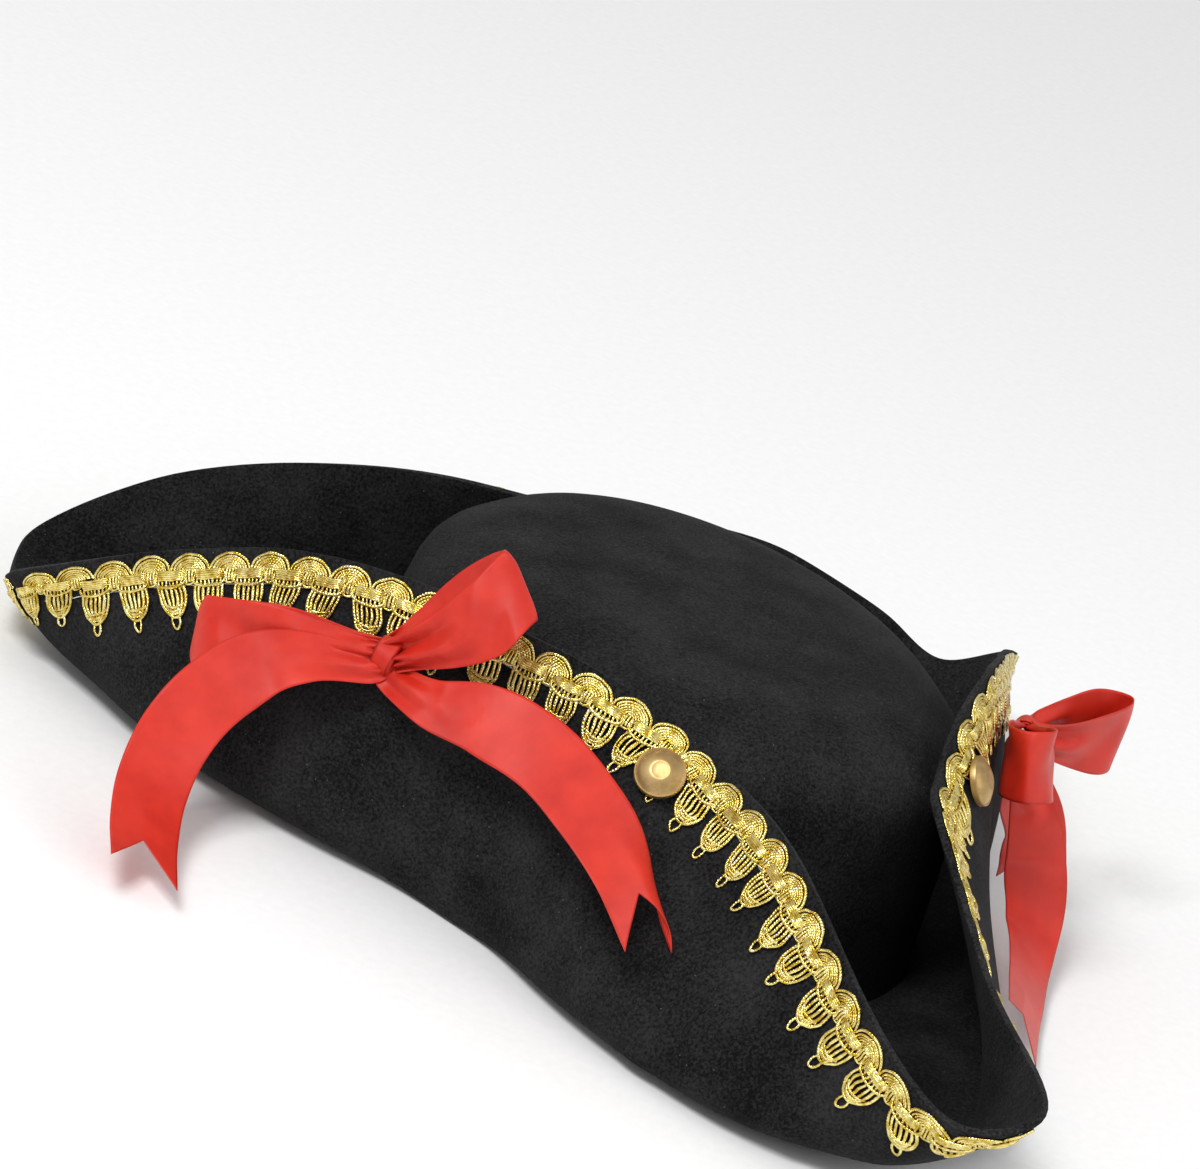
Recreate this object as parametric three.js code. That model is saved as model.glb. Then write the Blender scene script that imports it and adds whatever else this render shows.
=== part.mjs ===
// A lady's tricorn hat: one piece of black blocked felt, gold braid round the turned-up brim,
// a brass stud and a red satin bow on each side flap.
// Millimetres, +Z up. The wearer looks along -Y and the wearer's left is +X. The origin is the
// middle of the head opening, on the surface that the brim rests on.
// A turn is an angle round the hat in degrees, 0 at the front corner and growing to the wearer's left.
import * as THREE from 'three';

// Felt body
const feltThickness = 2.2;
const crownHalfWidth = 87.5;
const crownHalfLength = 101;
const crownHeight = 84;
const crownFullness = 4.7;
const crownRows = 6;
const crownRowSpread = 1.3;
const baseRound = 5;
const restingRing = 8;
const brimWidth = 130;
const flapHeight = 86;
const brimRows = 8;
const columnsPerSection = 3;
const edgeSamples = 600;
const travelStep = 3;

// Gold braid
const braidWidth = 24;
const braidThickness = 1;
const bellPitch = 13.8;
const edgeMargin = 0.8;
const braidClearance = 1.3;
const seamGap = 3;
const cornerBells = 2;
const cornerBellShare = 0.7;

// Brass studs
const studDiameter = 15;
const studHeight = 4.5;
const studRimShare = 0.3;
const studDomeLeans = [50, 25];
const studDrop = 16;
const studTurn = 29;
const studClearance = 0.5;
const studSides = 20;

// Satin bows
const ribbonWidth = 22;
const ribbonThickness = 1;
const knotDrop = 23;
const knotLength = 8;
const knotHeight = 13;
const knotDepth = 9;
const knotSides = 10;
const knotClearance = 0.3;
const knotGap = 0.3;
const loopLength = 55;
const loopDepth = 16;
const loopSteps = 12;
const tailLength = 110;
const tailSteps = 10;
const notchDepth = 17;
const notchMargin = 1;
const gatherShare = 0.4;
const loopSpread = 0.7;
const tailSpread = 0.36;

// Brim sections round the hat. The edge and the fold each have a reach out from the crown wall, as a
// share of the brim width, and a rise above the resting surface, as a share of the flap height.
const sections = [
  { turn: -180, edgeOut: 0.05, edgeUp: 0.70, foldOut: 0.14, foldUp: 0.40 },
  { turn: -160, edgeOut: 0.26, edgeUp: 0.67, foldOut: 0.22, foldUp: 0.36 },
  { turn: -142, edgeOut: 0.61, edgeUp: 0.50, foldOut: 0.39, foldUp: 0.21 },
  { turn: -130, edgeOut: 0.85, edgeUp: 0.26, foldOut: 0.59, foldUp: 0.05 },
  { turn: -123, edgeOut: 0.86, edgeUp: 0.18, foldOut: 0.70, foldUp: 0.01 },
  { turn: -117, edgeOut: 0.84, edgeUp: 0.31, foldOut: 0.72, foldUp: 0.01 },
  { turn: -110, edgeOut: 0.58, edgeUp: 0.62, foldOut: 0.69, foldUp: 0.01 },
  { turn: -100, edgeOut: 0.33, edgeUp: 0.86, foldOut: 0.59, foldUp: 0.01 },
  { turn: -84, edgeOut: 0.12, edgeUp: 0.96, foldOut: 0.37, foldUp: 0.12 },
  { turn: -66, edgeOut: 0.00, edgeUp: 0.96, foldOut: 0.17, foldUp: 0.23 },
  { turn: -50, edgeOut: -0.02, edgeUp: 0.97, foldOut: 0.17, foldUp: 0.23 },
  { turn: -36, edgeOut: -0.06, edgeUp: 0.91, foldOut: 0.38, foldUp: 0.09 },
  { turn: -24, edgeOut: -0.02, edgeUp: 0.84, foldOut: 0.61, foldUp: 0.01 },
  { turn: -14, edgeOut: 0.28, edgeUp: 0.78, foldOut: 0.78, foldUp: 0.01 },
  { turn: -6, edgeOut: 0.88, edgeUp: 0.45, foldOut: 0.73, foldUp: 0.03 },
  { turn: 0, edgeOut: 1.00, edgeUp: 0.57, foldOut: 0.67, foldUp: 0.01 },
  { turn: 6, edgeOut: 0.53, edgeUp: 0.60, foldOut: 0.72, foldUp: 0.00 },
  { turn: 14, edgeOut: 0.09, edgeUp: 0.81, foldOut: 0.72, foldUp: 0.00 },
  { turn: 24, edgeOut: -0.04, edgeUp: 0.86, foldOut: 0.47, foldUp: 0.04 },
  { turn: 36, edgeOut: -0.08, edgeUp: 1.00, foldOut: 0.27, foldUp: 0.12 },
  { turn: 50, edgeOut: -0.06, edgeUp: 1.07, foldOut: 0.17, foldUp: 0.22 },
  { turn: 66, edgeOut: -0.01, edgeUp: 1.02, foldOut: 0.18, foldUp: 0.23 },
  { turn: 84, edgeOut: 0.11, edgeUp: 0.91, foldOut: 0.32, foldUp: 0.11 },
  { turn: 100, edgeOut: 0.31, edgeUp: 0.74, foldOut: 0.54, foldUp: 0.00 },
  { turn: 110, edgeOut: 0.58, edgeUp: 0.57, foldOut: 0.67, foldUp: 0.00 },
  { turn: 117, edgeOut: 0.90, edgeUp: 0.35, foldOut: 0.71, foldUp: 0.00 },
  { turn: 123, edgeOut: 0.88, edgeUp: 0.19, foldOut: 0.71, foldUp: 0.01 },
  { turn: 130, edgeOut: 0.84, edgeUp: 0.28, foldOut: 0.59, foldUp: 0.05 },
  { turn: 142, edgeOut: 0.61, edgeUp: 0.47, foldOut: 0.39, foldUp: 0.21 },
  { turn: 160, edgeOut: 0.24, edgeUp: 0.60, foldOut: 0.22, foldUp: 0.36 },
];

// Turns where the three lengths of braid start and end
const rightBraid = { start: -119, end: -1 };
const leftBraid = { start: 2.2, end: 119 };
const backBraid = { start: 119, end: 241 };

// One repeat of the braid. Along is a share of the repeat, top and drop are shares of the braid width.
const bellOutline = [
  { along: 0, top: 0.08, drop: 0.4 },
  { along: 0.16, top: 0.03, drop: 0.66 },
  { along: 0.5, top: 0, drop: 1 },
  { along: 0.84, top: 0.03, drop: 0.66 },
];

// A bow's loop seen along its ribbon's edge. Reach is a share of its length, bulge of half its depth.
const loopPath = [
  { reach: 0, bulge: 0.12 },
  { reach: 0.45, bulge: 0.8 },
  { reach: 0.85, bulge: 0.9 },
  { reach: 1, bulge: 0.15 },
  { reach: 0.85, bulge: -0.5 },
  { reach: 0.45, bulge: -0.45 },
  { reach: 0, bulge: -0.12 },
];

// The bows, each over the bell nearest to its knot's turn. Places are shares of the loop's or the
// tail's length from the knot: forward to the hat's front, out from the flap and up. A tail's root is
// the side of the knot that it comes out of.
const rightBow = {
  knotTurn: -85,
  frontLoop: {
    tip: { forward: 0.55, out: -0.1, up: 0.68 },
    across: { forward: 0.88, out: 0.08, up: -0.5 },
    fullness: 1,
  },
  backLoop: {
    tip: { forward: -1.02, out: 0.1, up: -0.32 },
    across: { forward: 0.2, out: 0.3, up: -0.9 },
    fullness: 1,
  },
  frontTail: {
    rootFacing: { forward: 0.15, out: 0.95, up: 0.35 },
    endFacing: { forward: 0.36, out: 0.5, up: 0.72 },
    root: { forward: 0.75, out: 0.35, up: -0.56 },
    path: [
      { forward: 0.17, out: 0.065, up: -0.035 },
      { forward: 0.33, out: 0.06, up: -0.01 },
      { forward: 0.52, out: 0.09, up: -0.015 },
      { forward: 0.7, out: 0.15, up: -0.065 },
      { forward: 0.87, out: 0.22, up: -0.135 },
      { forward: 1.045, out: 0.32, up: -0.235 },
    ],
  },
  backTail: {
    rootFacing: { forward: 0.35, out: 0.75, up: 0.55 },
    endFacing: { forward: 0.54, out: -0.18, up: 0.78 },
    root: { forward: -0.5, out: 0.75, up: -0.42 },
    path: [
      { forward: -0.16, out: 0.1, up: -0.05 },
      { forward: -0.27, out: 0.15, up: -0.11 },
      { forward: -0.345, out: 0.24, up: -0.22 },
      { forward: -0.36, out: 0.35, up: -0.32 },
      { forward: -0.33, out: 0.47, up: -0.41 },
      { forward: -0.26, out: 0.61, up: -0.465 },
      { forward: -0.16, out: 0.78, up: -0.485 },
    ],
  },
};
const leftBow = {
  knotTurn: 80,
  frontLoop: {
    tip: { forward: 0.85, out: 0, up: 0.15 },
    across: { forward: 0.2, out: 0.3, up: -1 },
    fullness: 1.3,
  },
  backLoop: {
    tip: { forward: -0.7, out: 0.52, up: -0.03 },
    across: { forward: 0.1, out: 0, up: -1 },
    fullness: 1,
  },
  frontTail: {
    rootFacing: { forward: 1, out: 0.1, up: 0.35 },
    endFacing: { forward: 0, out: 0.75, up: 0.65 },
    root: { forward: 0.5, out: 0.45, up: -0.74 },
    path: [
      { forward: 0.12, out: 0.095, up: -0.165 },
      { forward: 0.12, out: 0.15, up: -0.295 },
      { forward: 0.18, out: 0.185, up: -0.385 },
      { forward: 0.29, out: 0.2, up: -0.45 },
      { forward: 0.5, out: 0.215, up: -0.47 },
      { forward: 0.7, out: 0.22, up: -0.465 },
      { forward: 0.9, out: 0.225, up: -0.445 },
    ],
  },
  backTail: {
    rootFacing: { forward: 0.3, out: 0.9, up: 0.2 },
    endFacing: { forward: 0.95, out: 0.1, up: 0.3 },
    root: { forward: -0.2, out: 0.05, up: -0.97 },
    path: [
      { forward: -0.09, out: 0.055, up: -0.188 },
      { forward: -0.14, out: 0.12, up: -0.29 },
      { forward: -0.18, out: 0.155, up: -0.4 },
      { forward: -0.23, out: 0.175, up: -0.48 },
    ],
  },
};

const felt = new THREE.MeshStandardMaterial({ color: '#262527', roughness: 0.95, metalness: 0 });
const gold = new THREE.MeshStandardMaterial({ color: '#c9a227', roughness: 0.35, metalness: 0.9 });
const brass = new THREE.MeshStandardMaterial({ color: '#a8803a', roughness: 0.3, metalness: 1 });
const satin = new THREE.MeshStandardMaterial({ color: '#d8392c', roughness: 0.4, metalness: 0 });

// Table row by its place in the round, which goes on past either end
function sectionRow(index) {
  const count = sections.length;
  const lap = Math.floor(index / count);
  const row = sections[index - lap * count];
  return { ...row, turn: row.turn + 360 * lap };
}

// Brim section at any turn: a smooth curve through the rows
function sectionAt(turn) {
  const wrapped = turn - 360 * Math.floor((turn - sections[0].turn) / 360);
  let index = sections.length - 1;
  while (sections[index].turn > wrapped) {
    index -= 1;
  }
  const [before, start, end, after] = [-1, 0, 1, 2].map((step) => sectionRow(index + step));
  const span = end.turn - start.turn;
  const t = (wrapped - start.turn) / span;
  const blend = (column) => {
    const startSlope = (end[column] - before[column]) / (end.turn - before.turn);
    const endSlope = (after[column] - start[column]) / (after.turn - start.turn);
    const fromStart = start[column] * (1 + 2 * t) * (1 - t) ** 2 + span * startSlope * t * (1 - t) ** 2;
    const fromEnd = end[column] * (3 - 2 * t) * t ** 2 + span * endSlope * (t - 1) * t ** 2;
    return fromStart + fromEnd;
  };
  return {
    edgeOut: blend('edgeOut'),
    edgeUp: blend('edgeUp'),
    foldOut: blend('foldOut'),
    foldUp: Math.max(0, blend('foldUp')),
  };
}

function place(turn, reach, height) {
  const angle = THREE.MathUtils.degToRad(turn);
  return new THREE.Vector3(reach * Math.sin(angle), -reach * Math.cos(angle), height);
}

// Reach of the felt's middle surface at the foot of the crown wall: an oval
function crownFoot(turn) {
  const angle = THREE.MathUtils.degToRad(turn);
  const across = Math.sin(angle) / (crownHalfWidth - feltThickness / 2);
  const along = Math.cos(angle) / (crownHalfLength - feltThickness / 2);
  return 1 / Math.hypot(across, along);
}

// Section of the turned-up brim, from the resting ring out round the fold and up to the edge
function brimCurve(turn) {
  const section = sectionAt(turn);
  const foot = crownFoot(turn);
  const floor = feltThickness / 2;
  const foldReach = foot + section.foldOut * brimWidth;
  const edgeReach = foot + section.edgeOut * brimWidth;
  return new THREE.CubicBezierCurve(
    new THREE.Vector2(foot + baseRound + restingRing, floor),
    new THREE.Vector2(foldReach, floor),
    new THREE.Vector2(foldReach, floor + section.foldUp * flapHeight),
    new THREE.Vector2(edgeReach, floor + section.edgeUp * flapHeight),
  );
}

function brimPoint(turn, rise) {
  const spot = brimCurve(turn).getPoint(rise);
  return place(turn, spot.x, spot.y);
}

// Middle surface of the felt in one section, from beside the crown's top out to the brim's edge
function sectionPoints(turn) {
  const foot = crownFoot(turn);
  const wallFoot = feltThickness / 2 + baseRound;
  const wallHeight = crownHeight - feltThickness / 2 - wallFoot;
  const points = [];
  for (let row = 1; row <= crownRows; row += 1) {
    const lean = (Math.PI / 2) * (row / crownRows) ** crownRowSpread;
    const reach = foot * Math.sin(lean) ** (2 / crownFullness);
    const height = wallHeight * Math.max(0, Math.cos(lean)) ** (2 / crownFullness);
    points.push(place(turn, reach, wallFoot + height));
  }
  for (const bend of [Math.PI / 4, Math.PI / 2]) {
    const reach = foot + baseRound * (1 - Math.cos(bend));
    points.push(place(turn, reach, wallFoot - baseRound * Math.sin(bend)));
  }
  for (let row = 0; row <= brimRows; row += 1) {
    points.push(brimPoint(turn, row / brimRows));
  }
  return points;
}

// Turns of the felt's columns: the table's own turns and a few even steps between them
function columnTurns() {
  const turns = [];
  for (let index = 0; index < sections.length; index += 1) {
    const start = sectionRow(index).turn;
    const span = sectionRow(index + 1).turn - start;
    for (let step = 0; step < columnsPerSection; step += 1) {
      turns.push(start + (span * step) / columnsPerSection);
    }
  }
  return turns;
}

// Geometry from points and triangles, with its faces turned outwards
function closedGeometry(points, triangles) {
  let volume = 0;
  for (const [a, b, c] of triangles) {
    volume += points[a].dot(points[b].clone().cross(points[c]));
  }
  const faces = volume < 0 ? triangles.map(([a, b, c]) => [a, c, b]) : triangles;
  const geometry = new THREE.BufferGeometry().setFromPoints(points);
  geometry.setIndex(faces.flat());
  geometry.computeVertexNormals();
  return geometry;
}

// Solid through rings of points, each ring in the same order, with both ends closed
function loftGeometry(rings) {
  const size = rings[0].length;
  const triangles = [];
  for (let ring = 0; ring < rings.length - 1; ring += 1) {
    for (let side = 0; side < size; side += 1) {
      const here = ring * size + side;
      const next = ring * size + ((side + 1) % size);
      triangles.push([here, next, next + size]);
      triangles.push([here, next + size, here + size]);
    }
  }
  const last = (rings.length - 1) * size;
  for (let side = 0; side < size / 2 - 1; side += 1) {
    const across = size - 1 - side;
    triangles.push([side, across, across - 1]);
    triangles.push([side, across - 1, side + 1]);
    triangles.push([last + side, last + across - 1, last + across]);
    triangles.push([last + side, last + side + 1, last + across - 1]);
  }
  return closedGeometry(rings.flat(), triangles);
}

// The felt body: an upper and a lower skin either side of the middle surface, joined at the edge
function feltGeometry() {
  const columns = columnTurns().map(sectionPoints);
  const count = columns.length;
  const rows = columns[0].length;
  const ringRow = crownRows + 2;
  const half = feltThickness / 2;
  const top = new THREE.Vector3(0, 0, crownHeight - half);
  const under = (column, row) => {
    if (row === ringRow || row === ringRow - 1) {
      return new THREE.Vector3(0, 0, -1);
    }
    const left = columns[(column + 1) % count][row];
    const right = columns[(column + count - 1) % count][row];
    const inner = row === 0 ? top : columns[column][row - 1];
    const outer = columns[column][Math.min(row + 1, rows - 1)];
    const round = left.clone().sub(right);
    return round.cross(outer.clone().sub(inner)).normalize();
  };
  const points = [new THREE.Vector3(0, 0, crownHeight), new THREE.Vector3(0, 0, crownHeight - feltThickness)];
  for (let column = 0; column < count; column += 1) {
    for (let row = 0; row < rows; row += 1) {
      const normal = under(column, row);
      points.push(columns[column][row].clone().addScaledVector(normal, -half));
      points.push(columns[column][row].clone().addScaledVector(normal, half));
    }
  }
  const index = (column, row, skin) => 2 + 2 * ((column % count) * rows + row) + skin;
  const triangles = [];
  for (let column = 0; column < count; column += 1) {
    triangles.push([0, index(column, 0, 0), index(column + 1, 0, 0)]);
    triangles.push([1, index(column + 1, 0, 1), index(column, 0, 1)]);
    for (let row = 0; row < rows - 1; row += 1) {
      const quad = (skin) => [
        index(column, row, skin),
        index(column + 1, row, skin),
        index(column + 1, row + 1, skin),
        index(column, row + 1, skin),
      ];
      const [a, b, c, d] = quad(0);
      triangles.push([a, c, b], [a, d, c]);
      const [e, f, g, h] = quad(1);
      triangles.push([e, f, g], [e, g, h]);
    }
    const edge = (step, skin) => index(column + step, rows - 1, skin);
    triangles.push([edge(0, 0), edge(0, 1), edge(1, 1)], [edge(0, 0), edge(1, 1), edge(1, 0)]);
  }
  return closedGeometry(points, triangles);
}

// A spot on the middle surface of the brim, with its directions round the hat, up the flap and outwards
function brimSpot(turn, rise) {
  const turnStep = 0.2;
  const riseStep = 0.01;
  const point = brimPoint(turn, rise);
  const round = brimPoint(turn + turnStep, rise).sub(brimPoint(turn - turnStep, rise));
  round.divideScalar(2 * turnStep);
  const climb = point.clone().sub(brimPoint(turn, rise - riseStep)).divideScalar(riseStep);
  const outward = round.clone().cross(climb).normalize();
  return { turn, rise, point, round, climb, outward };
}

// Spot reached by going over the surface from a spot, a distance along a heading, in short steps
function travel(start, heading, distance) {
  const steps = Math.max(1, Math.ceil(distance / travelStep));
  let spot = start;
  let direction = heading;
  for (let step = 0; step < steps; step += 1) {
    direction = direction.clone().projectOnPlane(spot.outward).normalize();
    const move = direction.clone().multiplyScalar(distance / steps);
    const roundRound = spot.round.dot(spot.round);
    const roundClimb = spot.round.dot(spot.climb);
    const climbClimb = spot.climb.dot(spot.climb);
    const moveRound = move.dot(spot.round);
    const moveClimb = move.dot(spot.climb);
    const scale = roundRound * climbClimb - roundClimb * roundClimb;
    const turn = (moveRound * climbClimb - moveClimb * roundClimb) / scale;
    const rise = (moveClimb * roundRound - moveRound * roundClimb) / scale;
    spot = brimSpot(spot.turn + turn, spot.rise + rise);
  }
  return spot;
}

// Spot on a flap a distance below its edge, measured square to the edge
function spotBelowEdge(turn, distance) {
  const edge = brimSpot(turn, 1);
  const down = edge.round.clone().cross(edge.outward).normalize();
  return travel(edge, down, distance);
}

// Point a distance off the outer face of the felt at a spot
function offFelt(spot, distance) {
  return spot.point.clone().addScaledVector(spot.outward, feltThickness / 2 + distance);
}

// Length of the brim's edge between two turns, and the turn at any length along it
function edgeRun(startTurn, endTurn) {
  const turns = [startTurn];
  const lengths = [0];
  let before = brimPoint(startTurn, 1);
  for (let sample = 1; sample <= edgeSamples; sample += 1) {
    const turn = startTurn + ((endTurn - startTurn) * sample) / edgeSamples;
    const point = brimPoint(turn, 1);
    lengths.push(lengths[sample - 1] + point.distanceTo(before));
    turns.push(turn);
    before = point;
  }
  const turnAt = (length) => {
    const after = Math.max(1, lengths.findIndex((value) => value >= length));
    const share = (length - lengths[after - 1]) / (lengths[after] - lengths[after - 1]);
    return THREE.MathUtils.lerp(turns[after - 1], turns[after], share);
  };
  return { length: lengths[edgeSamples], turnAt };
}

// Repeats of one length of braid, and the turn at any count of them
function braidRun(turns) {
  const run = edgeRun(turns.start, turns.end);
  const strip = run.length - 2 * seamGap;
  const repeats = Math.round(strip / bellPitch);
  const turnAt = (count) => run.turnAt(seamGap + (count / repeats) * strip);
  return { repeats, turnAt };
}

// Turn at the middle of the bell that is nearest to a turn
function nearestBell(turns, turn) {
  const { repeats, turnAt } = braidRun(turns);
  const middles = Array.from({ length: repeats }, (_, repeat) => turnAt(repeat + 0.5));
  return middles.reduce((best, middle) => (Math.abs(middle - turn) < Math.abs(best - turn) ? middle : best));
}

// Braid on one flap: bells that hang from a band, on the outer face just under the edge. The last bells
// at either end are folded short where the brim turns its corner.
function braidGeometry(turns) {
  const { repeats, turnAt } = braidRun(turns);
  const ring = (count, row) => {
    const turn = turnAt(count);
    const top = edgeMargin + row.top * braidWidth;
    const atCorner = count < cornerBells || count > repeats - cornerBells;
    const bottom = edgeMargin + row.drop * braidWidth * (atCorner ? cornerBellShare : 1);
    const spots = [top, (top + bottom) / 2, bottom].map((distance) => spotBelowEdge(turn, distance));
    const face = spots.map((spot) => offFelt(spot, braidClearance + braidThickness));
    const back = spots.map((spot) => offFelt(spot, braidClearance));
    return [...face, ...back.reverse()];
  };
  const rings = [];
  for (let repeat = 0; repeat < repeats; repeat += 1) {
    for (const row of bellOutline) {
      rings.push(ring(repeat + row.along, row));
    }
  }
  rings.push(ring(repeats, bellOutline[0]));
  return loftGeometry(rings);
}

// Domed stud, turned about Y, with its flat back at height 0
function studGeometry() {
  const radius = studDiameter / 2;
  const rim = studHeight * studRimShare;
  const profile = [new THREE.Vector2(0, 0), new THREE.Vector2(radius, 0), new THREE.Vector2(radius, rim)];
  for (const lean of studDomeLeans) {
    const angle = THREE.MathUtils.degToRad(lean);
    profile.push(new THREE.Vector2(radius * Math.sin(angle), rim + (studHeight - rim) * Math.cos(angle)));
  }
  profile.push(new THREE.Vector2(0, studHeight));
  return new THREE.LatheGeometry(profile, studSides);
}

// Frame at a bow's knot, which lies over a bell of the braid: forward to the hat's front, out from the
// flap and up. Reach is how far the knot goes to the flat face square to a direction.
function knotFrame(side, braid, turn) {
  const spot = spotBelowEdge(nearestBell(braid, turn), knotDrop);
  const out = spot.outward.clone().setZ(0).normalize();
  const forward = new THREE.Vector3(side * out.y, -side * out.x, 0);
  const up = new THREE.Vector3(0, 0, 1);
  const halves = [[forward, knotLength / 2], [out, knotDepth / 2], [up, knotHeight / 2]];
  const reach = (direction) => Math.hypot(...halves.map(([axis, half]) => half * direction.dot(axis)));
  const center = offFelt(spot, braidClearance + braidThickness + knotClearance + reach(spot.outward));
  const at = (shares, size) => center.clone()
    .addScaledVector(forward, shares.forward * size)
    .addScaledVector(out, shares.out * size)
    .addScaledVector(up, shares.up * size);
  const aim = (shares) => at(shares, 1).sub(center).normalize();
  // Point on the knot's side, a gap off it, with the direction square to the knot there
  const root = (shares) => {
    const way = aim(shares);
    const point = center.clone();
    const facing = new THREE.Vector3();
    for (const [axis, half] of halves) {
      point.addScaledVector(axis, way.dot(axis) * half);
      facing.addScaledVector(axis, way.dot(axis) / half);
    }
    facing.normalize();
    return { point: point.addScaledVector(facing, knotGap), facing };
  };
  return { at, aim, reach, root, center };
}

// Flat ribbon through stations, each with its middle, its direction across and its width
function ribbonGeometry(stations) {
  const rings = stations.map(({ middle, across, width, along, notch }) => {
    const thick = across.clone().cross(along).setLength(ribbonThickness / 2);
    const half = across.clone().setLength(width / 2);
    const center = middle.clone().addScaledVector(along, -notch);
    const line = [middle.clone().sub(half), center, middle.clone().add(half)];
    const face = line.map((point) => point.clone().add(thick));
    const back = line.map((point) => point.clone().sub(thick));
    return [...face, ...back.reverse()];
  });
  return loftGeometry(rings);
}

// One loop of a bow: out from the knot, round its end and back under itself
function loopGeometry(frame, loop) {
  const tip = frame.at(loop.tip, loopLength);
  const axis = tip.clone().sub(frame.center).normalize();
  const down = frame.aim(loop.across).projectOnPlane(axis).normalize();
  const bulge = down.clone().cross(axis).normalize();
  const outFacing = bulge.dot(frame.aim({ forward: 0, out: 1, up: 0 })) < 0 ? -1 : 1;
  const start = frame.reach(axis) + knotGap;
  const length = tip.distanceTo(frame.center) - start;
  const path = loopPath.map((row) => frame.center.clone()
    .addScaledVector(axis, start + row.reach * length)
    .addScaledVector(bulge, (outFacing * row.bulge * loop.fullness * loopDepth) / 2));
  const curve = new THREE.CatmullRomCurve3(path, false, 'centripetal');
  const stations = [];
  for (let step = 0; step <= loopSteps; step += 1) {
    const share = step / loopSteps;
    const middle = curve.getPoint(share);
    const reach = middle.clone().sub(frame.center).dot(axis) / loopLength;
    const spread = THREE.MathUtils.smoothstep(reach, 0, loopSpread);
    const width = ribbonWidth * THREE.MathUtils.lerp(gatherShare, 1, spread);
    stations.push({ middle, across: down, width, along: curve.getTangent(share), notch: 0 });
  }
  return ribbonGeometry(stations);
}

// One tail of a bow, with a notch cut in its end
function tailGeometry(frame, tail) {
  const root = frame.root(tail.root);
  const path = [root.point, ...tail.path.map((row) => frame.at(row, tailLength))];
  const curve = new THREE.CatmullRomCurve3(path, false, 'centripetal');
  const rootFacing = frame.aim(tail.rootFacing);
  const endFacing = frame.aim(tail.endFacing);
  const length = curve.getLength();
  const notchShare = 1 - (notchDepth + notchMargin) / length;
  const shares = [];
  for (let step = 0; step < tailSteps; step += 1) {
    shares.push((notchShare * step) / (tailSteps - 1));
  }
  shares.push(1);
  const stations = shares.map((share) => {
    const along = share === 0 ? root.facing : curve.getTangentAt(share);
    const facing = rootFacing.clone().lerp(endFacing, share);
    const spread = THREE.MathUtils.smoothstep(share, 0, tailSpread);
    return {
      middle: curve.getPointAt(share),
      across: along.clone().cross(facing).normalize(),
      width: ribbonWidth * THREE.MathUtils.lerp(gatherShare, 1, spread),
      along,
      notch: share === 1 ? notchDepth : 0,
    };
  });
  return ribbonGeometry(stations);
}

const hat = new THREE.Group();

function addMesh(name, geometry, material) {
  const mesh = new THREE.Mesh(geometry, material);
  mesh.name = name;
  hat.add(mesh);
  return mesh;
}

function addStud(name, side) {
  const spot = spotBelowEdge(side * studTurn, studDrop);
  const mesh = addMesh(name, studGeometry(), brass);
  mesh.position.copy(offFelt(spot, braidClearance + braidThickness + studClearance));
  mesh.quaternion.setFromUnitVectors(new THREE.Vector3(0, 1, 0), spot.outward);
}

function addKnot(name, frame) {
  const geometry = new THREE.SphereGeometry(0.5, knotSides, knotSides / 2);
  const mesh = addMesh(name, geometry, satin);
  mesh.position.copy(frame.center);
  const forward = frame.aim({ forward: 1, out: 0, up: 0 });
  const out = frame.aim({ forward: 0, out: 1, up: 0 });
  const up = forward.clone().cross(out);
  mesh.quaternion.setFromRotationMatrix(new THREE.Matrix4().makeBasis(forward, out, up));
  mesh.scale.set(knotLength, knotDepth, knotHeight);
}

function addBow(name, side, braid, bow) {
  const frame = knotFrame(side, braid, bow.knotTurn);
  addKnot(`${name}_knot`, frame);
  addMesh(`${name}_front_loop`, loopGeometry(frame, bow.frontLoop), satin);
  addMesh(`${name}_back_loop`, loopGeometry(frame, bow.backLoop), satin);
  addMesh(`${name}_front_tail`, tailGeometry(frame, bow.frontTail), satin);
  addMesh(`${name}_back_tail`, tailGeometry(frame, bow.backTail), satin);
}

addMesh('hat_body', feltGeometry(), felt);
addMesh('braid_right', braidGeometry(rightBraid), gold);
addMesh('braid_left', braidGeometry(leftBraid), gold);
addMesh('braid_back', braidGeometry(backBraid), gold);
addStud('stud_right', -1);
addStud('stud_left', 1);
addBow('bow_right', -1, rightBraid, rightBow);
addBow('bow_left', 1, leftBraid, leftBow);

export default hat;
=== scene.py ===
import math
import random

import bmesh
import bpy
from mathutils import Matrix, Vector, noise
from mathutils.bvhtree import BVHTree


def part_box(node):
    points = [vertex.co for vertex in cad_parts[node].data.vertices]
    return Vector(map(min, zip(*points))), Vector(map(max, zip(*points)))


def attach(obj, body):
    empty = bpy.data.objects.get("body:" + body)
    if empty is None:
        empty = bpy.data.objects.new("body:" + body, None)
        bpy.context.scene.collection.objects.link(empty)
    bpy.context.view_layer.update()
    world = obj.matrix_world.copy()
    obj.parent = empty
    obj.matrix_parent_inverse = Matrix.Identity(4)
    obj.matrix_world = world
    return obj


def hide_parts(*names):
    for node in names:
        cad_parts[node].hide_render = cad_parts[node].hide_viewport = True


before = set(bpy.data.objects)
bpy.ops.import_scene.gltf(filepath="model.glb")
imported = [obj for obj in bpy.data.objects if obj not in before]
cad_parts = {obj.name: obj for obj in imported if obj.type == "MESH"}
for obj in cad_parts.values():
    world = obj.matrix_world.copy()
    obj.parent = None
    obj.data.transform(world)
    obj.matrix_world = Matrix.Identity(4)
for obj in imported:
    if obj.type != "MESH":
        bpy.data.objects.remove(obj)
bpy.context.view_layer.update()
mm = 0.001
rightSide, leftSide = -1, 1
print("frame loaded")

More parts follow.
